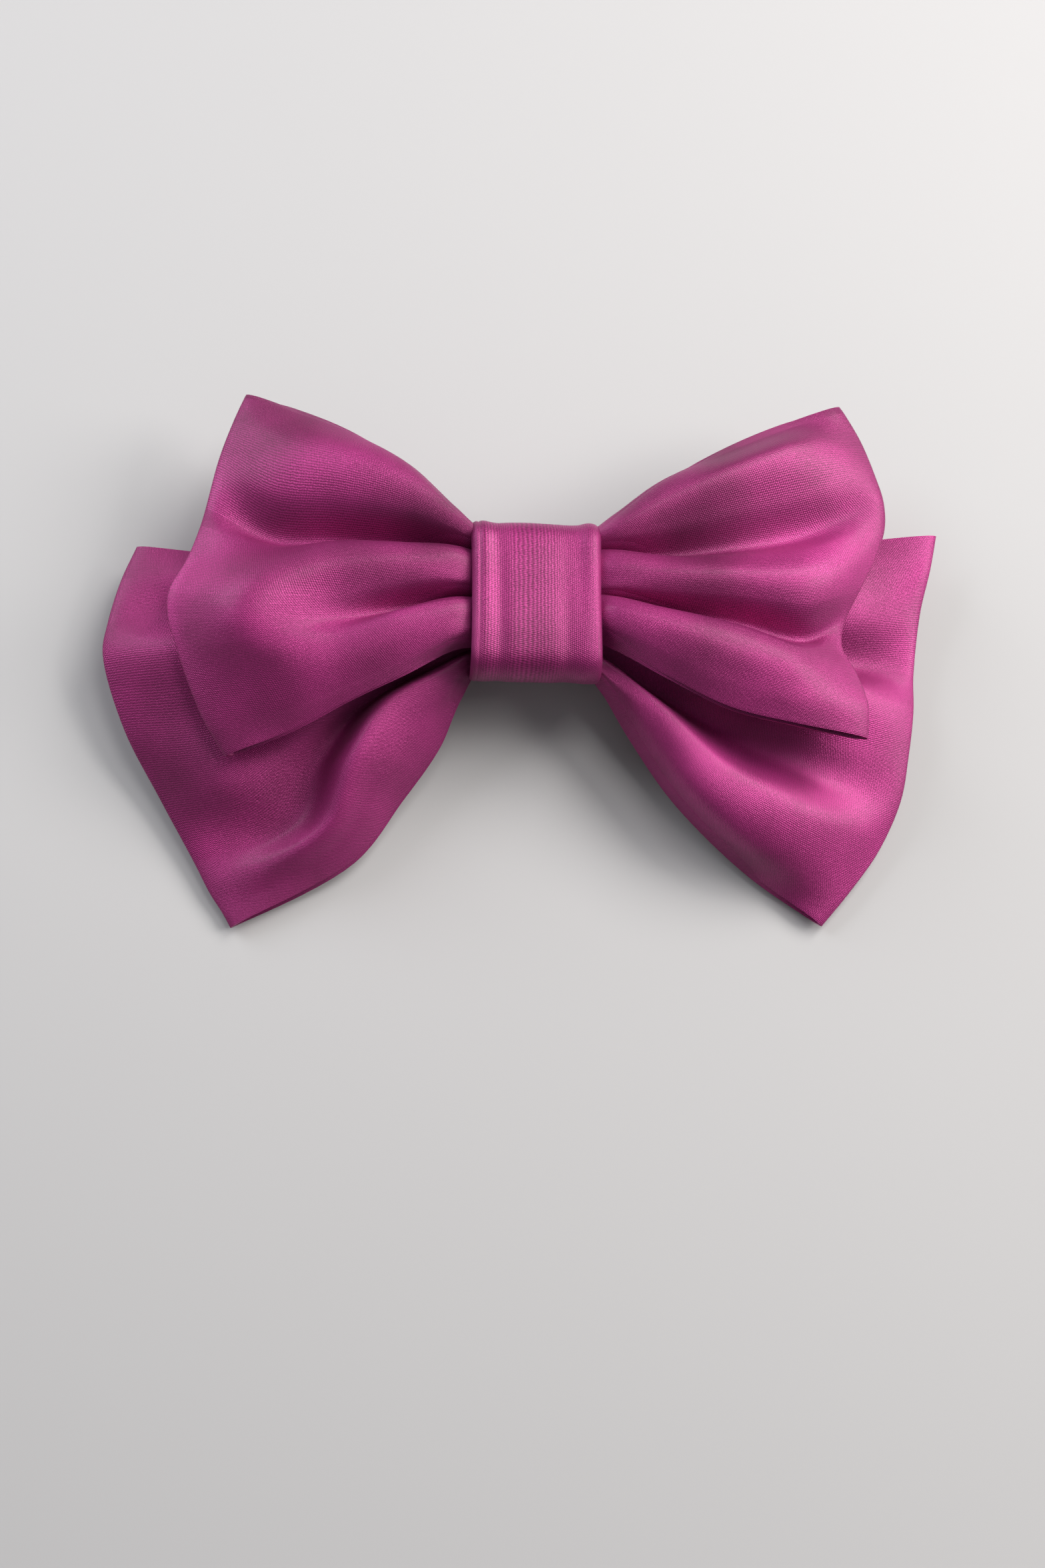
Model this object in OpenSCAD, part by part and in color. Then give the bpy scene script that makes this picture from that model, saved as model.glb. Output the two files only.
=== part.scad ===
// Double-layer satin bow with a wrapped knot, on a hinged spring-steel barrette clip.
// It lies face up: +X along the clip, +Y towards the upper loops, +Z out of the face.
// The origin is under the middle of the knot, on the plane that the clip's underside lies on.

/* [Bow] */
// Width of the bow over its rear loop
bow_span = 188; // [170:1:205]
// Height of the bow from the upper tips to the lower tips
bow_height = 119; // [108:1:130]
// Half thickness of the cloth roll along the outer edges
edge_r = 1.8; // [1.4:0.1:2]
// Half thickness of a pleat where it enters the knot
pleat_r = 2.5; // [2:0.1:2.6]

/* [Knot] */
// Width of the knot band, along X
knot_w = 27; // [24:0.5:30]
// Thickness of the folded knot band
band_t = 1.2; // [0.8:0.1:1.2]
// Half height of the gathered waists that the band holds
waist_h = 15.3; // [14.5:0.1:15.5]
// Thickness of each gathered waist
waist_t = 5.4; // [5:0.1:5.4]
// Thickness of the gathering thread
thread_d = 0.5; // [0.4:0.1:0.6]
// Turns of gathering thread round each waist
thread_turns = 5; // [3:1:6]

/* [Clip] */
// Length of the base bar
clip_l = 80; // [78:1:82]
// Width of the base bar
bar_w = 9; // [8.6:0.1:10]
// Thickness of the base bar
bar_t = 0.8; // [0.7:0.1:0.8]
// Height of the base bar's back above the resting plane, at its middle
bar_top = 16; // [15.8:0.1:16]
// Radius of the base bar's arch
bar_arch_r = 104; // [102:1:105]
// Width of the clasp arm
arm_w = 6; // [5.6:0.1:6.2]
// Height of the clasp arm's back at its middle
arm_top = 5.2; // [4.8:0.1:5.2]
// Width of the tension bar
tension_w = 5; // [4:0.1:5]
// Height of the tension bar's back at its middle
tension_top = 10.6; // [10.4:0.1:10.6]
// Radius of the hinge pin
pin_r = 0.75; // [0.7:0.05:0.8]

/* [Hidden] */
$fn = 48;

satin = "#a8327c";
thread_colour = "#8c2a68";
steel = "#c8c8cc";
glue_colour = "#e8e2d0";
fine = 0.02;                      // gap between parts that touch
running = 0.05;                   // radial clearance of a turning fit
arc_fn = 240;
ball_fn = 20;

sx = bow_span / 188;              // stretches the wings with the driving sizes
sy = bow_height / 119;
glue_top = bar_top + 0.5;
rear_z = glue_top + fine;                       // underside of the rear waist
front_z = rear_z + waist_t + 0.2;               // underside of the front waist
knot_front = front_z + waist_t + 0.2 + band_t;  // front of the knot band
front_mid_z = front_z + waist_t / 2;
rear_mid_z = rear_z + waist_t / 2;

arm_t = 0.7;
arm_arch_r = 190;
tension_t = 0.4;
tension_arch_r = 214;
tension_half_l = 32.9;
hinge_x = 2 - clip_l / 2;
ear_r = 1.8;
hinge_z = ear_r;                  // the ears' round ends stand on the resting plane
ear_t = 0.8;
knuckle_r = 1.5;
latch_x = clip_l / 2 - 4;
bridge_t = 0.5;
bridge_half_l = 2.4;
rivet_r = 0.6;
prong_y = 1.3;                    // inner face of a prong
prong_t = 0.5;
prong_w = 3.8;
prong_gap = 0.15;                 // room over a prong for its swing
bend_r = 0.3;                     // the bend that a prong swings about
bend_z = 7.6;
window_l = 5;
window_half_w = 2;
latch_angle = asin(latch_x / bar_arch_r);

// Each wing is three pleats. A pleat is the hull of balls, each [x, y, z, radius].
front_left = [
    [[-15, 12, front_mid_z, pleat_r], [-31, 29, 24, 2.6], [-62, 46, 19, edge_r], [-70, 22, 18, edge_r],
        [-42, 14, 24, 3]],
    [[-15, 4, front_mid_z, pleat_r], [-42, 13, 25, 3], [-70, 24, 18, edge_r], [-77.5, 0, 19, edge_r],
        [-71, -21, 18, edge_r], [-45, -2, 27, 3]],
    [[-15, -8, front_mid_z, pleat_r], [-26, -12, 24, 2.6], [-45, -21, 22, 2.6], [-64, -32.5, 17, edge_r],
        [-76, -5, 19, edge_r], [-40, 0, 26, 3]]
];
front_right = [
    [[15, 12, front_mid_z, pleat_r], [33, 29, 24, 2.6], [68.5, 48, 20, edge_r], [77.5, 26, 20, edge_r],
        [45, 20, 25, 3]],
    [[15, 4, front_mid_z, pleat_r], [46, 16, 24, 3], [77, 25, 20, edge_r], [67.5, -1, 17.5, edge_r],
        [40, 0, 24, 2.6]],
    [[15, -7, front_mid_z, pleat_r], [26, -8, 25, 2.6], [50, -18, 25, 3], [72, -25, 19, edge_r],
        [71.5, -14, 20, edge_r], [66, -2, 18, edge_r], [40, -1, 25, 2.6]]
];
rear_left = [
    [[-15, 4, rear_mid_z, pleat_r], [-50, 8, 13, 2.4], [-86, 13, 8, edge_r], [-92, -8, 8, edge_r]],
    [[-15, -4, rear_mid_z, pleat_r], [-50, -12, 12, 2.4], [-92, -8, 8, edge_r], [-80, -38, 5, edge_r]],
    [[-15, -12, rear_mid_z, pleat_r], [-36, -50, 6, 2], [-64, -67, edge_r, edge_r], [-83, -34, 6, edge_r],
        [-45, -22, 11, 2.4]]
];
rear_right = [
    [[15, 4, rear_mid_z, pleat_r], [50, 10, 13, 2.4], [92.5, 21, 8, edge_r], [86.5, -5, 8, edge_r]],
    [[15, -4, rear_mid_z, pleat_r], [50, -10, 12, 2.4], [86.5, -5, 8, edge_r], [84, -33, 6, edge_r]],
    [[15, -12, rear_mid_z, pleat_r], [33, -39, 8, 2], [64, -64.5, edge_r, edge_r], [83.5, -35, 6, edge_r],
        [45, -20, 11, 2.4]]
];

// ---- cloth ----

module pleat(balls) {
    hull()
        for (b = balls)
            translate([b[0] * sx, b[1] * sy, b[2]]) sphere(r = b[3], $fn = ball_fn);
}

// A waist gathered at its middle: the thread lies in the groove.
module waist(z) {
    groove = thread_turns * thread_d + 0.6;
    difference() {
        translate([-14.6, -waist_h, z]) cube([29.2, 2 * waist_h, waist_t]);
        translate([-groove / 2, 0, z + waist_t / 2])
            rotate([90, 0, 90])
                linear_extrude(groove)
                    difference() {
                        square([2 * waist_h + 2, waist_t + 2], center = true);
                        square([2 * waist_h - 2 * thread_d - 0.2, waist_t - 2 * thread_d - 0.2], center = true);
                    }
    }
}

module loop(wings, z) {
    color(satin) {
        waist(z);
        for (wing = wings)
            for (balls = wing) pleat(balls);
    }
}

module front_loop() loop([front_left, front_right], front_z);

module rear_loop() loop([rear_left, rear_right], rear_z);

module gather_thread(z) {
    color(thread_colour)
        for (i = [0 : thread_turns - 1])
            translate([(i - thread_turns / 2) * thread_d + fine / 2, 0, z + waist_t / 2])
                rotate([90, 0, 90])
                    linear_extrude(thread_d - fine)
                        difference() {
                            square([2 * waist_h - 0.1, waist_t - 0.1], center = true);
                            square([2 * waist_h - 2 * thread_d, waist_t - 2 * thread_d], center = true);
                        }
}

module front_gather_thread() gather_thread(front_z);

module rear_gather_thread() gather_thread(rear_z);

// The band's outline across the knot: flat in front, round the sides, drawn in under the base bar.
module band_outline() {
    corner_r = 1.8;
    back_r = band_t;
    hull()
        for (side = [-1, 1]) {
            translate([side * (waist_h + 0.3), knot_front - corner_r]) circle(corner_r);
            translate([side * (waist_h + 0.3), rear_z + 0.3]) circle(corner_r);
            translate([side * (bar_w / 2 + 0.7), bar_top - 2]) circle(back_r);
        }
}

module knot_band() {
    color(satin)
        translate([-knot_w / 2, 0, 0])
            rotate([90, 0, 90])
                linear_extrude(knot_w)
                    difference() {
                        band_outline();
                        offset(delta = -band_t) band_outline();
                    }
}

// Whip stitches that close the band's overlap behind the base bar.
module knot_stitches() {
    stitch_r = 0.2;
    back_z = bar_top - 2 - band_t;
    color(thread_colour)
        for (x = [-10 : 4 : 10])
            translate([x, -1.5, back_z - stitch_r - fine])
                rotate([-90, 0, 0]) cylinder(r = stitch_r, h = 3);
}

module glue_pad() {
    color(glue_colour)
        difference() {
            translate([-11, -4, bar_top - 2]) cube([22, 8, glue_top - bar_top + 2]);
            bar_disc(bar_arch_r + fine, bar_top + fine);
        }
}

// ---- clip ----

// A disc across Y whose highest point is at z.
module bar_disc(r, z) {
    translate([0, 20, z - r]) rotate([90, 0, 0]) cylinder(r = r, h = 40, $fn = arc_fn);
}

module rounded_plan(x0, x1, w, r) {
    translate([x0 + r, -w / 2]) square([x1 - x0 - 2 * r, w]);
    translate([x0, r - w / 2]) square([x1 - x0, w - 2 * r]);
    for (x = [x0 + r, x1 - r], y = [r - w / 2, w / 2 - r]) translate([x, y]) circle(r);
}

// A strip bent to an arch of radius r, with rounded corners in plan.
module arched_strip(r, z, t, x0, x1, w, corner) {
    intersection() {
        difference() {
            bar_disc(r, z);
            bar_disc(r - t, z - t);
        }
        linear_extrude(40) rounded_plan(x0, x1, w, corner);
    }
}

// A plate between y0 and y1 that reaches from z up to a depth below the base bar's back.
module hanging_plate(x0, x1, y0, y1, z, depth = bar_t / 2) {
    intersection() {
        translate([x0, y0, z]) cube([x1 - x0, y1 - y0, 20]);
        bar_disc(bar_arch_r - depth, bar_top - depth);
    }
}

// Moves a child from the arch's centre out to the base bar, at an angle from its middle.
module on_bar(angle) {
    translate([0, 0, bar_top - bar_arch_r]) rotate([0, angle, 0]) children();
}

module hinge_ears() {
    for (y = [-bar_w / 2, bar_w / 2 - ear_t]) {
        hanging_plate(hinge_x - ear_r, hinge_x + ear_r, y, y + ear_t, hinge_z);
        translate([hinge_x, y + ear_t, hinge_z]) rotate([90, 0, 0]) cylinder(r = ear_r, h = ear_t);
    }
}

// An eyelet at each end of the base bar, which the tension bar's end floats in.
module eyelet(x) {
    half_w = tension_w / 2 + 0.2;
    wall = 0.6;
    floor_z = tension_top - 3.5;
    difference() {
        hanging_plate(x - 1.5, x + 1.5, -half_w - wall, half_w + wall, floor_z);
        translate([x - 2, -half_w, floor_z + 0.5]) cube([4, 2 * half_w, 3.2]);
    }
}

module base_bar() {
    sewing_hole_r = 0.9;
    color(steel)
        difference() {
            union() {
                arched_strip(bar_arch_r, bar_top, bar_t, -clip_l / 2, clip_l / 2, bar_w, 1.5);
                hinge_ears();
                eyelet(-31);
                eyelet(31);
            }
            translate([hinge_x, 10, hinge_z]) rotate([90, 0, 0]) cylinder(r = pin_r + running, h = 20);
            on_bar(latch_angle) cylinder(r = rivet_r + running, h = bar_arch_r + 5);
            for (x = [-24, 24]) translate([x, 0, bar_top - 8]) cylinder(r = sewing_hole_r, h = 10);
        }
}

module hinge_pin() {
    head_r = 1.2;
    head_t = 0.4;
    color(steel)
        translate([hinge_x, 0, hinge_z]) rotate([90, 0, 0]) {
            cylinder(r = pin_r, h = bar_w + 0.2, center = true);
            for (side = [-1, 1])
                translate([0, 0, side * (bar_w / 2 + fine + head_t / 2)])
                    cylinder(r = head_r, h = head_t, center = true);
        }
}

module clasp_arm() {
    knuckle_w = bar_w - 2 * ear_t - 0.4;
    color(steel)
        difference() {
            union() {
                arched_strip(arm_arch_r, arm_top, arm_t, hinge_x, clip_l / 2 - 0.4, arm_w, 1);
                translate([hinge_x, knuckle_w / 2, hinge_z]) rotate([90, 0, 0]) cylinder(r = knuckle_r, h = knuckle_w);
            }
            translate([hinge_x, 10, hinge_z]) rotate([90, 0, 0]) cylinder(r = pin_r + running, h = 20);
            translate([latch_x - window_l / 2, -window_half_w, -1]) cube([window_l, 2 * window_half_w, 10]);
        }
}

module tension_bar() {
    color(steel)
        arched_strip(tension_arch_r, tension_top, tension_t, -tension_half_l, tension_half_l, tension_w, 1);
}

module latch_bridge() {
    color(steel)
        difference() {
            arched_strip(bar_arch_r - bar_t - fine, bar_top - bar_t - fine, bridge_t,
                         latch_x - bridge_half_l, latch_x + bridge_half_l, 2 * prong_y - 0.2, 0.3);
            on_bar(latch_angle) cylinder(r = rivet_r + running, h = bar_arch_r + 5);
        }
}

module latch_rivet() {
    head_r = 1.1;
    head_t = 0.3;
    under = bar_arch_r - bar_t - fine - bridge_t;
    color(steel)
        on_bar(latch_angle) {
            translate([0, 0, under - head_t]) cylinder(r = rivet_r, h = bar_arch_r - under + 2 * head_t);
            translate([0, 0, under - fine - head_t]) cylinder(r = head_r, h = head_t);
            translate([0, 0, bar_arch_r + fine]) cylinder(r = head_r, h = head_t);
        }
}

// A springy prong: a blade through the arm's window, a barb under the window's rim, and a thumb tab.
module prong() {
    x0 = latch_x - prong_w / 2;
    outer_y = prong_y + prong_t;
    tab_y = bar_w / 2 - 0.2;
    color(steel) {
        hanging_plate(x0, x0 + prong_w, prong_y, outer_y, 0, bar_t + prong_gap);
        translate([x0, prong_y + prong_t / 2, bend_z]) rotate([0, 90, 0]) cylinder(r = bend_r, h = prong_w);
        translate([x0, outer_y, 0.2]) cube([prong_w, window_half_w - outer_y - 0.05, 0.6]);
        translate([x0, outer_y, 5.6]) cube([prong_w, tab_y - outer_y, prong_t]);
        translate([x0 + 0.3, tab_y, 4.2]) cube([prong_w - 0.6, prong_t, 3]);
    }
}

module upper_prong() prong();

module lower_prong() mirror([0, 1, 0]) prong();

front_loop();
rear_loop();
knot_band();
knot_stitches();
front_gather_thread();
rear_gather_thread();
glue_pad();
base_bar();
hinge_pin();
clasp_arm();
tension_bar();
latch_bridge();
latch_rivet();
upper_prong();
lower_prong();
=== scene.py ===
# %% [markdown]
# # A satin bow on a barrette clip
#
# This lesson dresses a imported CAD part. The steel clip comes from the CAD model and stays exactly where
# it is. The cloth is made here: a front loop, a longer rear loop behind it, and the knot band that holds
# both. The CAD holds the cloth only as plain solids, so each cloth piece replaces one of them.
#
# Axes: +X runs along the clip, +Y goes up the bow and +Z comes out of its face. The bow lies face up on a
# floor at z = 0.

# %% Load the frame
import math

import bpy
import numpy as np
from mathutils import Matrix, Vector, noise


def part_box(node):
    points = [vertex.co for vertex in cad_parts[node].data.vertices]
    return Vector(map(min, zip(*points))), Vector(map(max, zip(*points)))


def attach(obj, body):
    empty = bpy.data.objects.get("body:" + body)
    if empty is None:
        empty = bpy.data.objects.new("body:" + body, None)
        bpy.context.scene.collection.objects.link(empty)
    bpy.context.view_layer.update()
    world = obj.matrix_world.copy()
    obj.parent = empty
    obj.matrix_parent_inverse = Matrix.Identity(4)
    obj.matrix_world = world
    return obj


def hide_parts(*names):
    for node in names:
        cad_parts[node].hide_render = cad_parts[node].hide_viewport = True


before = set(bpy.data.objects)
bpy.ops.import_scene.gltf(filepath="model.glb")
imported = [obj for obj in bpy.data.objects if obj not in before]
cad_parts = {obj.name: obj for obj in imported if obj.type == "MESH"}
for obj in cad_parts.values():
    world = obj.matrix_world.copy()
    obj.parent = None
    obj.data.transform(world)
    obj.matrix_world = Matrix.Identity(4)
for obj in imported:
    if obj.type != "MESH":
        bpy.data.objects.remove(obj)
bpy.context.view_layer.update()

# %% [markdown]
# ## The camera and the floor
#
# A bow laid on a table is looked at from nearly overhead, from its lower left. The camera's place is
# worked out from the point it looks at, its distance and two angles, which are easier to adjust than
# three coordinates. The camera's own axes are built by cross products, so that +Y of the bow stays
# upright in the picture.

# %% Camera
MM = 0.001


def look_from(aim, distance, azimuth, elevation, lens):
    a, e = math.radians(azimuth), math.radians(elevation)
    back = Vector((math.sin(a) * math.cos(e), -math.cos(a) * math.cos(e), math.sin(e)))
    right = Vector((0, 1, 0)).cross(back).normalized()
    up = back.cross(right)
    data = bpy.data.cameras.new("camera")
    data.lens = lens
    data.sensor_width = 36
    data.clip_start, data.clip_end = 0.01, 10
    camera = bpy.data.objects.new("camera", data)
    turn = Matrix((right, up, back)).transposed().to_4x4()
    camera.matrix_world = Matrix.Translation(aim + back * distance) @ turn
    bpy.context.scene.collection.objects.link(camera)
    return camera


camera_aim = Vector((-2.2, -39.4, 17.9)) * MM
bpy.context.scene.camera = look_from(camera_aim, distance=0.469, azimuth=-20, elevation=75, lens=50)
print("camera at", [round(v, 3) for v in bpy.context.scene.camera.matrix_world.translation])

# %% [markdown]
# A node-based material is a small graph. These two helpers keep the graphs below short: one adds a node
# and fills its inputs, where a value may be a number or another node's output, and one starts a material
# with its shader.

# %% Material helpers


def add_node(tree, kind, inputs=None, **settings):
    node = tree.nodes.new(kind)
    for name, value in settings.items():
        setattr(node, name, value)
    for name, value in (inputs or {}).items():
        if isinstance(value, bpy.types.NodeSocket):
            tree.links.new(value, node.inputs[name])
        else:
            node.inputs[name].default_value = value
    return node


def start_material(name, **shader_values):
    material = bpy.data.materials.new(name)
    material.use_nodes = True
    shader = material.node_tree.nodes["Principled BSDF"]
    for socket, value in shader_values.items():
        shader.inputs[socket.replace("_", " ")].default_value = value
    return material, material.node_tree, shader


# %% [markdown]
# The floor is a plain pale sheet, with a faint mottle so that it isn't perfectly even. It isn't part of
# the object.

# %% Floor


def floor_material():
    material, tree, shader = start_material("pale_floor", Roughness=0.85)
    mottle = add_node(tree, "ShaderNodeTexNoise", {"Scale": 9.0, "Detail": 2.0})
    shade = add_node(tree, "ShaderNodeMix", {"Factor": mottle.outputs["Fac"]}, data_type="RGBA")
    shade.inputs["A"].default_value = (0.46, 0.455, 0.45, 1)
    shade.inputs["B"].default_value = (0.53, 0.525, 0.52, 1)
    tree.links.new(shade.outputs["Result"], shader.inputs["Base Color"])
    return material


bpy.ops.mesh.primitive_plane_add(size=6, location=(0, 0, 0))
floor = bpy.context.object
floor.name = "floor"
floor.data.materials.append(floor_material())
print("floor laid")

# %% [markdown]
# ## Satin
#
# Satin is a weave whose warp threads float over several weft threads at a time. Up close it is a lattice
# of tiny bright dashes in slanting rows, about a third of a millimetre apart. From further away the
# floats act like many small cylinders, which gives the soft, wide gloss. The dashes are two crossed waves
# on the cloth's own flat coordinates, kept in a UV map in millimetres, so the weave follows every fold.
# They make the bump and the roughness. They are also painted into the base colour, which runs from a
# shadow tone to a highlight tone: the dashes carry painted glints and the gaps between them painted shade.
# Very slow noise shifts the dye a little.

# %% Satin material
WEAVE_MAP = "weave_mm"


def wave(tree, coordinates, direction):
    """A sine wave over the cloth; direction holds the number of waves per millimetre along and across it."""
    pair = {0: coordinates, 1: (*direction, 0)}
    along = add_node(tree, "ShaderNodeVectorMath", pair, operation="DOT_PRODUCT")
    radians = {0: along.outputs["Value"], 1: 2 * math.pi}
    turns = add_node(tree, "ShaderNodeMath", radians, operation="MULTIPLY")
    return add_node(tree, "ShaderNodeMath", {0: turns.outputs[0]}, operation="SINE").outputs[0]


def remap(tree, value, old, new):
    """Stretches a value from one range to another, and stops it at the ends."""
    ends = {"Value": value, "From Min": old[0], "From Max": old[1], "To Min": new[0], "To Max": new[1]}
    return add_node(tree, "ShaderNodeMapRange", ends).outputs[0]


def satin_material(name, dark, light):
    """Satin with its dashes as painted glints and shade, fibres and uneven dye; all lengths are in
    millimetres.
    """
    dash_pitch, row_pitch, row_slip = 0.41, 0.35, 0.4
    slub_shift, fibre_share = 0.25, 0.45
    material, tree, shader = start_material(
        name, Metallic=0.5, IOR=1.6, Coat_Weight=0.15, Coat_Roughness=0.32, Sheen_Weight=0.03
    )
    shader.inputs["Specular Tint"].default_value = (1.0, 0.90, 0.97, 1)
    shader.inputs["Sheen Tint"].default_value = (1.0, 0.55, 0.80, 1)
    laid = add_node(tree, "ShaderNodeUVMap", uv_map=WEAVE_MAP).outputs["UV"]
    slub = add_node(tree, "ShaderNodeTexNoise", {"Vector": laid, "Scale": 1.5, "Detail": 1.0})
    centre = {0: slub.outputs["Color"], 1: (0.5, 0.5, 0)}
    shift = add_node(tree, "ShaderNodeVectorMath", centre, operation="SUBTRACT")
    moved = add_node(tree, "ShaderNodeVectorMath", {0: shift.outputs[0]}, operation="SCALE")
    moved.inputs["Scale"].default_value = slub_shift
    sum_of = {0: laid, 1: moved.outputs[0]}
    cloth = add_node(tree, "ShaderNodeVectorMath", sum_of, operation="ADD").outputs[0]
    rows = wave(tree, cloth, (0, 1 / row_pitch))
    dashes = wave(tree, cloth, (1 / dash_pitch, row_slip / row_pitch))
    lattice = add_node(tree, "ShaderNodeMath", {0: rows, 1: dashes}, operation="ADD").outputs[0]
    even = remap(tree, lattice, (-2.0, 2.0), (0.0, 1.0))
    fibres = add_node(tree, "ShaderNodeTexNoise", {"Vector": laid, "Scale": 3.2, "Detail": 1.0})
    mix = {0: fibre_share, "A": even, "B": fibres.outputs["Fac"]}
    weave = add_node(tree, "ShaderNodeMix", mix, data_type="FLOAT").outputs[0]
    place = add_node(tree, "ShaderNodeTexCoord").outputs["Object"]
    dye = add_node(tree, "ShaderNodeTexNoise", {"Vector": place, "Scale": 35.0, "Detail": 3.0})
    product = {0: weave, 1: dye.outputs["Fac"]}
    glints_and_dye = add_node(tree, "ShaderNodeMath", product, operation="MULTIPLY").outputs[0]
    tone = remap(tree, glints_and_dye, (0.08, 0.46), (0.0, 1.0))
    # The base colour runs from dark, a shadow tone, to light, a highlight tone: painted shade between the
    # dashes and painted glints on them, moved at random by the fibre and dye noise.
    colour = add_node(tree, "ShaderNodeMix", {"Factor": tone}, data_type="RGBA")
    colour.inputs["A"].default_value = (*dark, 1)
    colour.inputs["B"].default_value = (*light, 1)
    tree.links.new(colour.outputs["Result"], shader.inputs["Base Color"])
    gloss = remap(tree, weave, (0.0, 1.0), (0.50, 0.40))
    tree.links.new(gloss, shader.inputs["Roughness"])
    bump = add_node(tree, "ShaderNodeBump", {"Height": weave, "Strength": 0.9, "Distance": 0.00012})
    tree.links.new(bump.outputs["Normal"], shader.inputs["Normal"])
    return material


# dark is a painted shadow tone of the satin, and light is a painted highlight tone.
satin = satin_material("raspberry_satin", dark=(0.10, 0.002, 0.040), light=(0.50, 0.030, 0.235))
print("satin ready")

# %% [markdown]
# ## From lines to cloth
#
# A gathered band of cloth is a fan of pleats. Each pleat is easy to describe by the lines that run along
# it: its hem, the crest it rides up to, the floor of the valley beside it. So the cloth is lofted. A few
# lines run from the waist out to the wing's outer fold, each through six listed points, and a smooth
# surface is stretched through all of them.
#
# smooth() runs a curve through rows of points. Its knots are the square roots of the distances, the
# centripetal rule, which keeps the curve from looping where points are close together, as at a tight
# fold.

# %% Smooth rows


def smooth(points, steps, closed=False):
    """Adds steps - 1 points between each two rows of an array, on smooth curves down its columns."""
    p = np.concatenate([points[-1:], points, points[:2]]) if closed else points
    gap = np.sqrt(np.linalg.norm(np.diff(p, axis=0), axis=2, keepdims=True)) + 1e-9
    slope = np.diff(p, axis=0) / gap
    inner = (slope[:-1] * gap[1:] + slope[1:] * gap[:-1]) / (gap[:-1] + gap[1:])
    if closed:
        start, end, first, last = inner[:-1], inner[1:], p[1:-2], p[2:-1]
        gap = gap[1:-1]
    else:
        tangent = np.concatenate([slope[:1], inner, slope[-1:]])
        start, end, first, last = tangent[:-1], tangent[1:], p[:-1], p[1:]
    rows = []
    for k in range(len(first)):
        for t in np.arange(steps) / steps:
            keep = (1 + 2 * t) * (1 - t) ** 2 * first[k] + t * t * (3 - 2 * t) * last[k]
            bend = t * (1 - t) ** 2 * gap[k] * start[k] - t * t * (1 - t) * gap[k] * end[k]
            rows.append(keep + bend)
    if not closed:
        rows.append(p[-1])
    return np.array(rows)


print("a smooth row of", len(smooth(np.zeros((4, 1, 3)), 5)), "points from 4")

# %% [markdown]
# ### The front loop's lines
#
# Each line starts under the knot band and ends on the wing's outer fold. They are listed from the upper
# hem to the lower hem, in millimetres. Both wings have three pleats, so both have the same thirteen
# lines: hem, roll, crest and side of the upper pleat, the valley's floor, lip, crest and lip of the
# middle pleat, the second valley, then the lower pleat.

# %% Front loop lines
front_left = [
    [(-12, 11, 22.5), (-18, 15.5, 23), (-28, 27.5, 24.5),
     (-40, 38, 23), (-53, 44, 21), (-64, 48, 19)],
    [(-12, 15.5, 24), (-18, 20, 26), (-28, 29.8, 26.8),
     (-39.5, 37, 24.6), (-53, 42.8, 22.2), (-64.4, 46.8, 19.5)],
    [(-12, 14.8, 26.8), (-18, 18.4, 29), (-28, 26, 30),
     (-41, 31.5, 28.6), (-54.5, 36, 25.5), (-66.5, 41, 20)],
    [(-12, 12.8, 26.3), (-18.5, 15, 28), (-29.5, 18.5, 28.4),
     (-43, 21, 27.4), (-57, 23, 25), (-69.5, 32, 19.5)],
    [(-12, 10.8, 22.8), (-18.5, 11.5, 22.5), (-29.5, 12.4, 21.8),
     (-43, 13, 21), (-57, 13.2, 20.4), (-72, 20.5, 19)],
    [(-12, 10.2, 25.5), (-18.5, 10.8, 27.6), (-29.5, 11.2, 28),
     (-43, 11.2, 27.6), (-57, 10.2, 25), (-73, 16.5, 19)],
    [(-12, 6.8, 27.2), (-18.5, 7.4, 29), (-29.5, 7.8, 30),
     (-43, 6.5, 30), (-60, 4, 29.8), (-75.5, 9, 19.5)],
    [(-12, 3, 26.5), (-18.5, 3.2, 28), (-29.5, 1.8, 28.4),
     (-43, -1, 28.6), (-63, -3, 31.4), (-79.2, 1, 20)],
    [(-12, 0.6, 23), (-18.5, 0, 23), (-29, -2.6, 23.6),
     (-42.5, -6, 27), (-63.5, -8, 31.2), (-79, -5, 19.8)],
    [(-12, -0.6, 26), (-18.5, -1.4, 28), (-29, -4.4, 29),
     (-42.5, -9.5, 28.6), (-62, -12.5, 29.6), (-77, -11.5, 19.5)],
    [(-12, -4.5, 27), (-18.5, -5.5, 29), (-28.5, -9.5, 29),
     (-42, -14.5, 28), (-55, -18, 26.8), (-74.3, -19, 18.8)],
    [(-12, -8.5, 26), (-18, -9.5, 27.2), (-28, -14.5, 26.5),
     (-41, -20.5, 25), (-53.5, -25.5, 23), (-70.5, -27.5, 17.8)],
    [(-12, -9.5, 23.5), (-18, -10.8, 24.3), (-28, -17, 24.3),
     (-40, -23, 22.8), (-53, -29.7, 20.2), (-66, -34.5, 16.5)],
]
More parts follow.
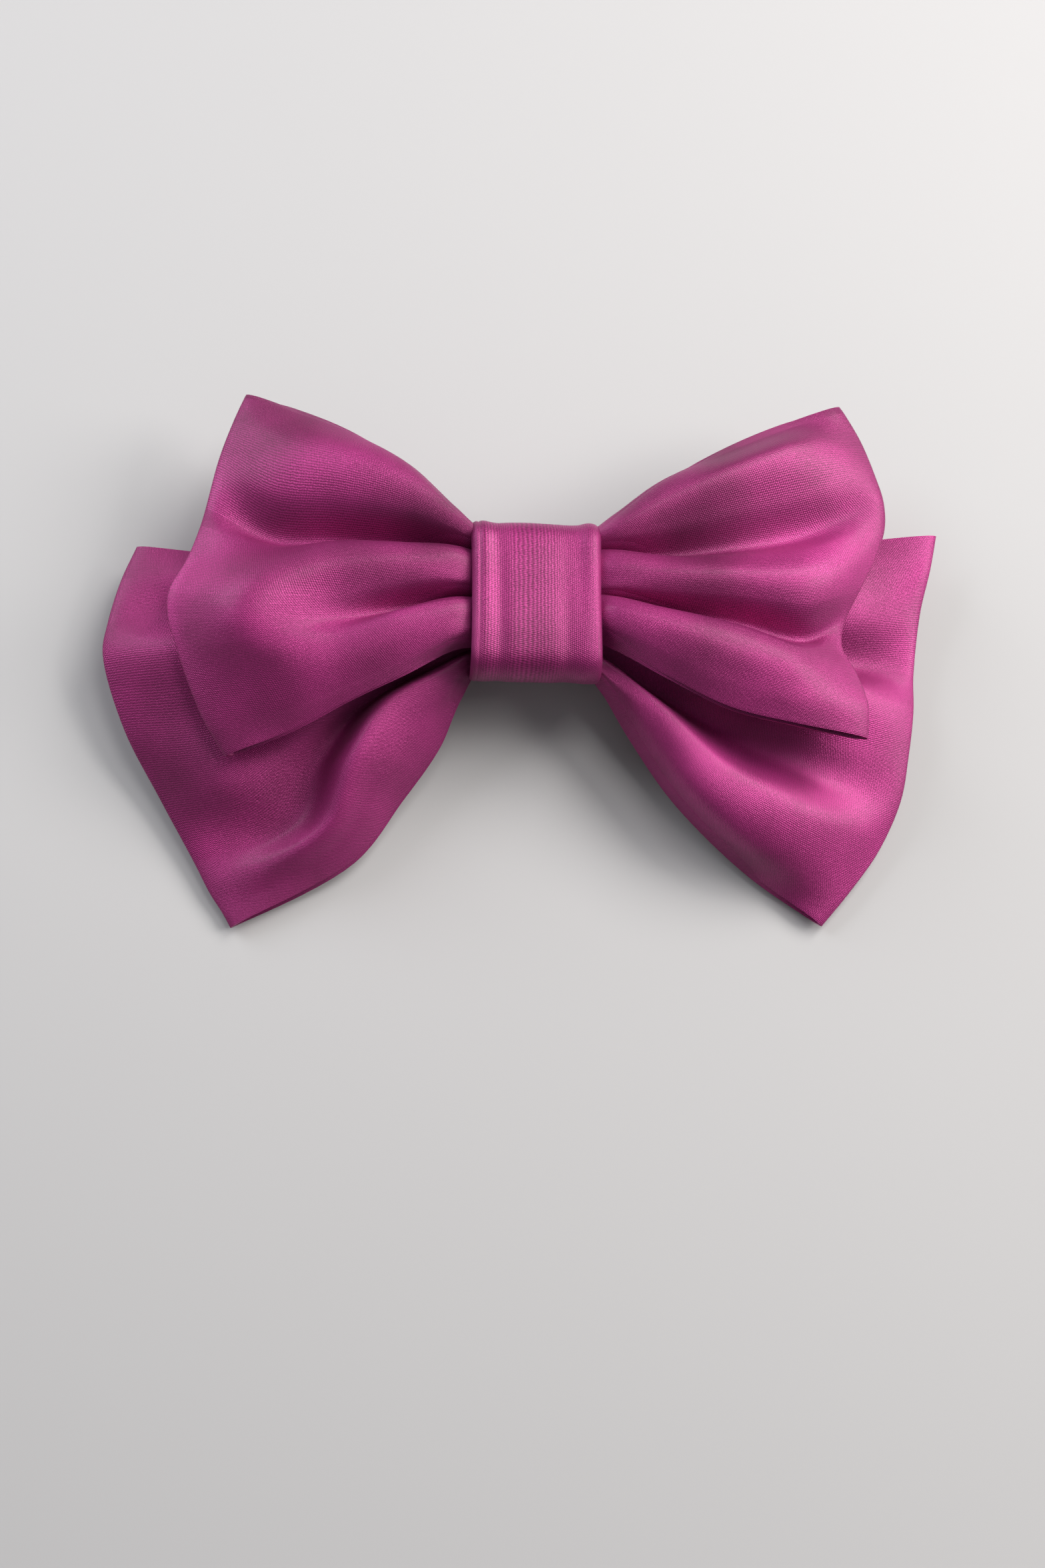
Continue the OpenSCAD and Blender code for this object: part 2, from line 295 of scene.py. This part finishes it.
front_right = [
    [(12, 11, 22.5), (18, 16, 23.5), (28, 26.5, 24.5),
     (41, 36.5, 23.5), (56, 44.3, 21.8), (70, 50, 20)],
    [(12, 15.8, 24.5), (18, 19.8, 26.5), (28, 27.8, 27),
     (41.5, 35.2, 25), (56.5, 42.6, 23), (71, 48.3, 20.3)],
    [(12, 14.5, 26.8), (18, 16.8, 28.8), (28.5, 23, 30.2),
     (43, 30, 30.6), (58.5, 37, 28), (74.5, 41.5, 20.6)],
    [(12, 12.8, 26), (18, 14, 27.4), (29, 16.8, 27.4),
     (44, 21.5, 27.4), (60, 26.5, 25.6), (77.5, 33, 20.6)],
    [(12, 11.8, 23), (18, 11.7, 22.8), (29, 11.8, 22.4),
     (44.5, 14, 22.6), (60.5, 18, 21.6), (79.2, 27, 20.4)],
    [(12, 10.8, 26.3), (18, 10.8, 27.5), (29, 10.2, 27.4),
     (44.5, 10.8, 26.6), (60.5, 13.4, 25.2), (79.3, 21, 20)],
    [(12, 6.5, 27.2), (18, 6.5, 29), (29, 6, 30),
     (44.5, 6, 29.8), (60, 7, 28), (77, 14, 19.8)],
    [(12, 2.8, 26.3), (18, 2.6, 27.6), (29, 1.8, 28),
     (44.5, 1.4, 27.6), (60, 0.6, 26.4), (73.5, 7, 19.3)],
    [(12, 1.3, 22.8), (18, 0.6, 22.6), (29, -1.2, 22.4),
     (44.5, -3, 21.6), (60, -6, 20.6), (69.8, -1, 17.6)],
    [(12, 0.8, 26), (18, 0, 27.8), (29, -2.4, 28.6),
     (43.5, -5.6, 28.6), (58, -9.4, 26.8), (69, -6.5, 18.5)],
    [(12, -2, 27), (18, -2.6, 29.6), (29, -6, 30.8),
     (43, -11, 30.6), (57, -14, 28.8), (71.5, -13, 20)],
    [(12, -5.5, 26), (18, -7.5, 28), (29, -12, 28.8),
     (42.5, -17.5, 28.2), (56.5, -20.5, 27.4), (73.6, -20.5, 21)],
    [(12, -7.5, 23.5), (18, -10, 24.3), (28.5, -16.2, 25),
     (42, -22.8, 25), (57, -26, 24.2), (73.6, -28, 19.8)],
]
print("front loop:", len(front_left), "lines a wing")

# %% [markdown]
# ### The rear loop's lines
#
# The rear loop is longer and its wings sweep down to two corners just above the floor. It has fewer
# pleats, so ten lines are enough: upper hem, crest, valley, ridge and shoulder, the flat panel, the deep
# valley, its crest, and the lower hem with a line beside it.

# %% Rear loop lines
rear_left = [
    [(-12, 9, 18), (-20, 9.5, 17), (-36, 11, 14),
     (-56, 13, 11.5), (-74, 14, 10), (-87.5, 15.4, 8)],
    [(-12, 7.5, 21), (-20, 8, 20.2), (-36, 7.5, 18),
     (-57, 7, 15), (-76, 8, 12), (-90.5, 7.5, 8.6)],
    [(-12, 3, 20), (-20, 2.5, 19.3), (-36, 0.5, 17),
     (-57, -1.5, 14), (-77, -1, 11), (-93, -3, 9)],
    [(-12, -1, 20.8), (-20, -2, 20.2), (-36, -5, 18.5),
     (-57, -8, 16), (-78, -9, 14.3), (-93.7, -10, 9)],
    [(-12, -4.5, 20.8), (-20, -7, 20), (-35, -14, 16.5),
     (-54, -21, 13.4), (-72, -26, 12), (-88.5, -26.5, 7.3)],
    [(-12, -7, 20), (-20.5, -11, 18.5), (-38, -18.5, 14.2),
     (-53, -31, 12.6), (-66, -39.5, 11), (-80.5, -41, 4.6)],
    [(-12, -8.5, 18.5), (-20, -12.5, 16), (-36, -20.5, 11.8),
     (-45, -32.5, 9.8), (-51.5, -47, 7), (-72.5, -55, 2.8)],
    [(-12, -11, 20.3), (-19.5, -15, 20.4), (-31.5, -22, 20.2),
     (-38.5, -34, 18.6), (-44.5, -49, 13), (-69, -61.5, 2.5)],
    [(-12, -13, 19.5), (-17.5, -17.5, 19), (-25, -25, 16.8),
     (-32.5, -36.5, 14), (-40.5, -51.5, 8.6), (-66, -66, 2.3)],
    [(-12, -13.5, 17.5), (-15.8, -19.5, 15.2), (-20, -29.5, 10.5),
     (-28, -41, 7), (-38, -54, 4.5), (-64.3, -69, 2.1)],
]
rear_right = [
    [(12, 9, 18), (20, 10, 17), (36, 13, 14),
     (56, 17.5, 10.5), (76, 21.5, 10), (94, 23.4, 9.8)],
    [(12, 7.5, 21), (20, 8, 20), (36, 9, 17),
     (57, 10.5, 12.2), (76, 12.5, 11.2), (92.2, 15, 9.8)],
    [(12, 4, 20), (20, 3.5, 19), (36, 3, 15.5),
     (57, 3, 12.5), (75, 2.5, 11.6), (89.8, 5, 8.6)],
    [(12, 0.5, 20.3), (20, -1, 19), (36, -3.5, 14.5),
     (57, -5.5, 9.6), (74.5, -7.5, 7.6), (88, -9.5, 7)],
    [(12, -3, 20.8), (20, -5, 19.8), (36, -9, 15.5),
     (56, -12.5, 12.5), (73, -14.5, 13), (87.4, -18, 7.8)],
    [(12, -6, 20), (20, -9, 18.5), (35, -16, 13),
     (53, -22, 10.5), (70, -27, 11.5), (86, -29, 6.8)],
    [(12, -8.5, 18.5), (18, -11.5, 16), (31, -18.5, 11.6),
     (48, -27.5, 9.4), (65, -34, 9.6), (84.2, -38.5, 5.4)],
    [(12, -10.5, 20.5), (17.5, -13.5, 20.5), (28, -22, 20.4),
     (42, -34.5, 18.6), (59, -42.5, 15), (79.2, -49.5, 4)],
    [(12, -12.5, 20), (16.5, -15.5, 19.5), (24.8, -25.5, 18),
     (36.5, -40.5, 17), (52, -52, 12.6), (72.6, -58.6, 3.2)],
    [(12, -13.5, 17.5), (16, -17, 15.5), (22.5, -26, 11),
     (34, -40.5, 6.5), (50, -55, 3.2), (66, -66.5, 2.1)],
]
print("rear loop:", len(rear_left), "lines a wing")

# %% [markdown]
# ### Closing the loop
#
# A wing isn't one sheet but two: the band runs out from the waist, turns round at the outer fold and
# comes back behind itself. The back layer follows the same pleats near the waist, where the thread pulls
# both layers together, and gets calmer and hangs further behind towards the fold. So its points are
# worked out from the front ones: each station's heights are drawn towards their mean by a share, and then
# lowered by a gap. At the fold, two extra points make the turn round.

# %% Loop lofting
CALM = (0.0, 0.1, 0.4, 0.65, 0.8)
GAP = (1.2, 1.3, 2.2, 3.4, 3.4)
LEAST_GAP = 1.2
WAIST_SQUEEZE_Y, WAIST_SQUEEZE_Z = 0.88, 0.35
FOLD_REACH = 1.4
STEPS_ALONG, STEPS_ACROSS = 10, 8


def waist_points(lines, middle):
    """Where the lines cross x = 0, squeezed together by the gathering thread."""
    near = np.array([line[0] for line in lines], float)
    near[:, 0] = 0
    near[:, 1] *= WAIST_SQUEEZE_Y
    near[:, 2] = middle + WAIST_SQUEEZE_Z * (near[:, 2] - near[:, 2].mean())
    return near


def layers_of(lines, fold_r, floor_z):
    """The front layer, the turn and the back layer of one wing, as stations x lines x 3."""
    front = np.array(lines, float).transpose(1, 0, 2)
    apex = front[-1]
    inward = front[-2] - apex
    inward[:, 2] = 0
    inward /= np.linalg.norm(inward, axis=1, keepdims=True)
    up = np.array((0, 0, 1.0))
    over = apex + inward * FOLD_REACH * fold_r + up * fold_r
    under = apex + inward * FOLD_REACH * fold_r - up * fold_r
    back = front[:-1].copy()
    for station, (calm, gap) in enumerate(zip(CALM, GAP)):
        height = back[station, :, 2]
        hanging = height + calm * (height.mean() - height) - gap
        back[station, :, 2] = np.minimum(hanging, height - LEAST_GAP)
    under[:, 2] = np.maximum(under[:, 2], floor_z)
    back[:, :, 2] = np.maximum(back[:, :, 2], floor_z)
    return [*front[:-1], over, apex, under, *back[::-1]]


def loop_grid(left, right, middle, fold_r, floor_z):
    """The whole closed band: out along the left wing's front, back behind it, and the same on the right."""
    front_waist = waist_points(left, middle)
    back_waist = front_waist - np.array((0, 0, LEAST_GAP))
    left_side = layers_of(left, fold_r, floor_z)
    right_side = layers_of(right, fold_r, floor_z)
    stations = np.array([front_waist, *left_side, back_waist, *right_side[::-1]])
    along = smooth(stations, STEPS_ALONG, closed=True)
    return smooth(along.transpose(1, 0, 2), STEPS_ACROSS).transpose(1, 0, 2)


# %% [markdown]
# Lofted cloth is too perfect. Real satin has shallow dents from handling, which slow noise gives, and
# fine creases that fan out of the knot where the gathers were pulled tight. The creases fade within a
# couple of centimetres.

# %% Dents and gathers
DENT_X, DENT_Y = 22, 16
CREASE_START, CREASE_FADE = 13, 9
CREASE_COUNT, CREASE_WANDER = 7, 0.6
WANDER_X, WANDER_Y = 12, 7


def handle_cloth(grid, dent, crease, seed):
    """Adds dents and creases, both given by their height in millimetres, to a grid of points."""
    rows, columns = grid.shape[:2]
    for i in range(rows):
        for j in range(columns):
            x, y = grid[i, j, 0], grid[i, j, 1]
            slow = noise.noise(Vector((x / DENT_X, y / DENT_Y, seed)))
            fade = math.exp(-(((abs(x) - CREASE_START) / CREASE_FADE) ** 2))
            wander = CREASE_WANDER * noise.noise(Vector((x / WANDER_X, y / WANDER_Y, seed)))
            fan = math.sin(2 * math.pi * (CREASE_COUNT * j / columns + wander))
            grid[i, j, 2] += dent * slow + crease * fade * fan
    return grid


# %% [markdown]
# A grid of points becomes a mesh with one quad between each four neighbours. The flat cloth coordinates
# are written to the UV map at the same time: along the band they add up the real distances, and across it
# they are shares of the band's cut width.

# %% Grid to mesh


def cloth_mesh(name, grid, cut_width, closed=True):
    rows, columns = grid.shape[:2]
    quads = []
    last_row = rows if closed else rows - 1
    for i in range(last_row):
        this_row = i * columns
        next_row = (i + 1) % rows * columns
        for j in range(columns - 1):
            quads.append((this_row + j, next_row + j, next_row + j + 1, this_row + j + 1))
    mesh = bpy.data.meshes.new(name)
    mesh.from_pydata((grid.reshape(-1, 3) * MM).tolist(), [], quads)
    step = np.linalg.norm(np.diff(np.concatenate([grid, grid[:1]]), axis=0), axis=2).mean(axis=1)
    along = np.concatenate([[0], np.cumsum(step)])
    weave = mesh.uv_layers.new(name=WEAVE_MAP)
    corners = []
    for i in range(last_row):
        for j in range(columns - 1):
            low = j * cut_width / (columns - 1)
            high = (j + 1) * cut_width / (columns - 1)
            corners += [along[i], low, along[i + 1], low, along[i + 1], high, along[i], high]
    weave.data.foreach_set("uv", corners)
    mesh.polygons.foreach_set("use_smooth", [True] * len(mesh.polygons))
    piece = bpy.data.objects.new(name, mesh)
    bpy.context.scene.collection.objects.link(piece)
    print(name, "is", round(along[last_row]), "mm long and", rows * columns, "points")
    return piece


def thicken(piece, thickness):
    """Gives a sheet its thickness towards its inside, and rounds its turned edges."""
    solid = piece.modifiers.new("thickness", "SOLIDIFY")
    solid.thickness = thickness * MM
    solid.offset = -1
    soft = piece.modifiers.new("soft_edge", "BEVEL")
    soft.width = 0.45 * thickness * MM
    soft.segments = 3
    soft.limit_method = "ANGLE"
    soft.angle_limit = math.radians(60)


# %% [markdown]
# ### Sewing the two loops
#
# sew_loop() turns one pair of wings into a finished piece: it lofts the band, dents it, thickens it, ties
# it to the body it moves with and hides the CAD solid that it replaces. It is also given the width that
# the cloth was cut to, which lays the weave across the band. That width is the finished loop's widest
# line across.

# %% Front and rear loops
CLOTH_PLY = 0.8
LOWEST = 0.45


def sew_loop(name, node, lines, middle, fold_r, cut_width):
    lofted = loop_grid(*lines, middle, fold_r, floor_z=LOWEST)
    grid = handle_cloth(lofted, dent=0.5, crease=0.16, seed=middle)
    piece = cloth_mesh(name, grid, cut_width)
    piece.data.materials.append(satin)
    thicken(piece, CLOTH_PLY)
    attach(piece, "bow")
    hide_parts(node)


sew_loop("front_satin_loop", "front_loop", (front_left, front_right), 24.9, 1.3, 89)

# The rear band is taken to be cut like an hourglass: full width at its two folds, and narrower in the
# middle, where it is gathered. That shape is an assumption; the weave is laid across the full width only.
rear_width, rear_middle_width, rear_length = 97, 68, 372
rear_lines = (rear_left, rear_right)
sew_loop("rear_satin_loop", "rear_loop", rear_lines, 19.2, 1.0, rear_width)

# %% [markdown]
# ## The knot band
#
# The knot is a strip folded lengthwise with its raw edges inside, wrapped once round both waists and the
# clip's bar, and stitched behind. Its path is drawn once as seen from the end of the bow: it starts under
# the clip, goes up over the top, down the front's lower side and laps over its own start. Across its
# width it isn't flat. The two folded edges stand up a little, and the pull of the wrap leaves soft
# ripples, which are a curve of their own that is added outwards all along the path, fully in front and
# hardly at all behind.

# %% Knot band
band_low, band_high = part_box("knot_band")
band_half_w = band_high[0] / MM
band_front, band_back = band_high[2] / MM, band_low[2] / MM
band_half_h = band_high[1] / MM
print("knot band: half width", round(band_half_w, 1))
print("knot band: from", round(band_back, 1), "to", round(band_front, 1), "mm above the floor")

band_ply = 0.7
band_path = [
    (-5, band_back + band_ply), (0, band_back + band_ply), (4, band_back + band_ply),
    (8, band_back + 0.8), (13.5, band_back + 2.2), (16.6, band_back + 4.8),
    (band_half_h - 0.1, 21), (16.8, 25), (14.6, 27.6), (9.5, band_front - 0.3), (0, band_front - 0.2),
    (-9.5, band_front - 0.3), (-14.6, 27.6), (-16.6, 25), (-16.8, 21.4),
    (-15, band_back + 4.6), (-11.5, band_back + 2), (-8, band_back + 0.6), (-4, band_back), (0.6, band_back),
]
band_ripples = [
    (-1, -0.9), (-0.985, -0.2), (-0.955, 0.15), (-0.93, -0.05), (-0.86, 0.28),
    (-0.6, -0.18), (-0.4, 0.12), (0, 0.09), (0.3, -0.03), (0.5, -0.27),
    (0.68, -0.06), (0.84, 0.4), (0.95, 0.2), (0.985, -0.2), (1, -0.9),
]
band_cut_width = 27


def knot_grid():
    """The path drawn along the band, with the ripples pushed outwards from it."""
    path = np.array([[(0, y, z)] for y, z in band_path], float)
    centre_line = smooth(path, 8)[:, 0]
    ripple_points = np.array([[(share * band_half_w, 0, h)] for share, h in band_ripples], float)
    ripple = smooth(ripple_points, 5)[:, 0]
    along = np.gradient(centre_line, axis=0)
    outward = np.stack([along[:, 0], -along[:, 2], along[:, 1]], axis=1)
    outward /= -np.linalg.norm(outward, axis=1, keepdims=True)
    rise = (centre_line[:, 2] - band_back - 2) / (band_front - band_back - 4)
    in_front = np.clip(rise, 0.15, 1)
    x = ripple[None, :, 0]
    sway = 1 + 0.5 * np.sin(x * 0.5 + centre_line[:, 1:2] * 0.09)
    lift = ripple[None, :, 2] * in_front[:, None] * sway
    grid = centre_line[:, None, :] + outward[:, None, :] * lift[:, :, None]
    grid[:, :, 0] = x * (1 - 0.012 * in_front[:, None] * np.cos(centre_line[:, 1:2] * 0.12))
    return grid


knot = cloth_mesh("knot_satin_band", knot_grid()[:, ::-1], band_cut_width, closed=False)
knot.data.materials.append(satin)
thicken(knot, band_ply)
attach(knot, "bow")
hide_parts("knot_band")

# %% [markdown]
# ## Whip stitches behind the clip
#
# The band's overlap is closed by hand with short slanting stitches. Each is a short arc of thread that
# comes out of one layer, crosses the turned edge and dives into the other, so its two ends are hidden in
# the cloth. All of them are splines of one curve with a round bevel, and the curve is turned into a mesh
# once it is drawn.

# %% Whip stitches
stitch_low, stitch_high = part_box("knot_stitches")
stitch_count = 6
stitch_slant = 0.9 * MM
thread_r = 0.22 * MM


def whip_stitches():
    """All the stitches as one mesh, swept along short arcs."""
    data = bpy.data.curves.new("knot_whip_stitches", "CURVE")
    data.dimensions = "3D"
    data.bevel_depth = thread_r
    data.bevel_resolution = 3
    data.use_fill_caps = True
    under = stitch_low[2] + 0.1 * MM
    inside = under + 0.9 * MM
    first_x, last_x = stitch_low[0] + thread_r, stitch_high[0] - thread_r
    for k in range(stitch_count):
        x = first_x + (last_x - first_x) * k / (stitch_count - 1)
        lean = stitch_slant * (1 + 0.3 * math.sin(2.4 * k))
        spline = data.splines.new("BEZIER")
        spline.bezier_points.add(3)
        shape = ((-1, inside), (-0.75, under), (0.6, under), (0.9, inside))
        for point, (side, z) in zip(spline.bezier_points, shape):
            point.co = (x + lean * side, side * stitch_high[1], z)
            point.handle_left_type = point.handle_right_type = "AUTO"
    guide = bpy.data.objects.new("stitch_guide", data)
    bpy.context.scene.collection.objects.link(guide)
    bpy.context.view_layer.update()
    drawn = guide.evaluated_get(bpy.context.evaluated_depsgraph_get())
    mesh = bpy.data.meshes.new_from_object(drawn)
    bpy.data.objects.remove(guide)
    piece = bpy.data.objects.new("knot_whip_stitches", mesh)
    bpy.context.scene.collection.objects.link(piece)
    return piece


stitches = whip_stitches()
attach(stitches, "bow")
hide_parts("knot_stitches")
print(stitch_count, "stitches behind the clip")

# %% [markdown]
# ## Thread, glue and steel
#
# The rest are the CAD's own pieces with better finishes. Sewing thread is two twisted plies, so a
# slanting wave gives it its twist. Hot glue is milky and a little lumpy. The clip is spring steel strip,
# rolled and then nickel plated: fine lines run along it from the rolls, and noise that is stretched along
# X draws them. The rivet and the hinge pin are bright steel with small hammer marks from peening.

# %% Small materials


def thread_material():
    material, tree, shader = start_material("polyester_thread", Roughness=0.5, Sheen_Weight=0.3)
    place = add_node(tree, "ShaderNodeTexCoord").outputs["Object"]
    plies = {"Vector": place, "Scale": 900.0, "Distortion": 1.0}
    twist = add_node(tree, "ShaderNodeTexWave", plies, bands_direction="DIAGONAL")
    colour = add_node(tree, "ShaderNodeMix", {"Factor": twist.outputs["Fac"]}, data_type="RGBA")
    colour.inputs["A"].default_value = (0.16, 0.010, 0.070, 1)
    colour.inputs["B"].default_value = (0.33, 0.030, 0.150, 1)
    tree.links.new(colour.outputs["Result"], shader.inputs["Base Color"])
    relief = {"Height": twist.outputs["Fac"], "Strength": 0.6, "Distance": 0.0001}
    bump = add_node(tree, "ShaderNodeBump", relief)
    tree.links.new(bump.outputs["Normal"], shader.inputs["Normal"])
    return material


def glue_material():
    milky = {"Subsurface_Weight": 0.4, "Subsurface_Scale": 0.002}
    material, tree, shader = start_material("hot_glue", Roughness=0.3, **milky)
    place = add_node(tree, "ShaderNodeTexCoord").outputs["Object"]
    grain = add_node(tree, "ShaderNodeTexNoise", {"Vector": place, "Scale": 400.0, "Detail": 2.0})
    lumps = grain.outputs["Fac"]
    colour = add_node(tree, "ShaderNodeMix", {"Factor": lumps}, data_type="RGBA")
    colour.inputs["A"].default_value = (0.62, 0.56, 0.44, 1)
    colour.inputs["B"].default_value = (0.80, 0.76, 0.66, 1)
    tree.links.new(colour.outputs["Result"], shader.inputs["Base Color"])
    bump = add_node(tree, "ShaderNodeBump", {"Height": lumps, "Strength": 0.5, "Distance": 0.0003})
    tree.links.new(bump.outputs["Normal"], shader.inputs["Normal"])
    return material


def steel_material(name, tone, stretch, depth):
    """Metal marked by squeezed noise: equal numbers in stretch give dents, unequal ones lines."""
    material, tree, shader = start_material(name, Metallic=1.0)
    place = add_node(tree, "ShaderNodeTexCoord").outputs["Object"]
    squeezed = add_node(tree, "ShaderNodeMapping", {"Vector": place, "Scale": stretch}).outputs["Vector"]
    scratches = add_node(tree, "ShaderNodeTexNoise", {"Vector": squeezed, "Scale": 1.0, "Detail": 4.0})
    marks = scratches.outputs["Fac"]
    stain = add_node(tree, "ShaderNodeTexNoise", {"Vector": place, "Scale": 90.0, "Detail": 4.0})
    colour = add_node(tree, "ShaderNodeMix", {"Factor": stain.outputs["Fac"]}, data_type="RGBA")
    colour.inputs["A"].default_value = (*(0.8 * c for c in tone), 1)
    colour.inputs["B"].default_value = (*tone, 1)
    tree.links.new(colour.outputs["Result"], shader.inputs["Base Color"])
    gloss = remap(tree, marks, (0.0, 1.0), (0.18, 0.42))
    tree.links.new(gloss, shader.inputs["Roughness"])
    bump = add_node(tree, "ShaderNodeBump", {"Height": marks, "Strength": 0.4, "Distance": depth})
    tree.links.new(bump.outputs["Normal"], shader.inputs["Normal"])
    return material


finishes = {
    "thread": thread_material(),
    "glue": glue_material(),
    "clip_steel": steel_material("nickel_strip", (0.66, 0.64, 0.60), (60, 2600, 2600), 0.00002),
    "rivet_steel": steel_material("peened_steel", (0.58, 0.57, 0.56), (900, 900, 900), 0.00006),
}
finish_of = {
    "thread": ("front_gather_thread", "rear_gather_thread"),
    "glue": ("glue_pad",),
    "clip_steel": ("base_bar", "clasp_arm", "tension_bar", "latch_bridge", "upper_prong", "lower_prong"),
    "rivet_steel": ("hinge_pin", "latch_rivet"),
}
for finish, names in finish_of.items():
    for name in names:
        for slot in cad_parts[name].material_slots:
            slot.material = finishes[finish]
stitches.data.materials.append(finishes["thread"])
print("finished", sum(len(names) for names in finish_of.values()), "CAD pieces")

# %% [markdown]
# ## Light
#
# Satin shows its folds best in raking light. Two warm window panels stand low on the right and at the
# upper right, a weak ceiling panel lights what faces up, and a bluish sky panel fills the left. Sizes are
# in metres and power in watts, and every panel faces the origin.

# %% Lights


def soft_light(name, place, size, power, colour):
    """A square panel of light that faces the origin."""
    data = bpy.data.lights.new(name, "AREA")
    data.shape = "RECTANGLE"
    data.size = data.size_y = size
    data.energy = power
    data.color = colour
    light = bpy.data.objects.new(name, data)
    light.location = place
    light.rotation_mode = "QUATERNION"
    light.rotation_quaternion = (-Vector(place)).to_track_quat("-Z", "Y")
    bpy.context.scene.collection.objects.link(light)


soft_light("window", (0.82, 0.12, 0.56), 0.45, 6.5, (1.0, 0.97, 0.95))
soft_light("second_window", (0.52, 0.55, 0.66), 0.45, 6.5, (1.0, 0.97, 0.95))
soft_light("ceiling", (0.20, 0.30, 0.95), 0.4, 2.6, (1.0, 0.98, 0.98))
soft_light("sky", (-0.70, 0.55, 0.50), 0.6, 6, (0.90, 0.93, 1.0))
world = bpy.data.worlds.new("studio")
world.use_nodes = True
background = world.node_tree.nodes["Background"]
background.inputs["Color"].default_value = (0.95, 0.96, 1.0, 1)
background.inputs["Strength"].default_value = 0.2
bpy.context.scene.world = world
bpy.context.scene.view_settings.view_transform = "Standard"
print("lights on")
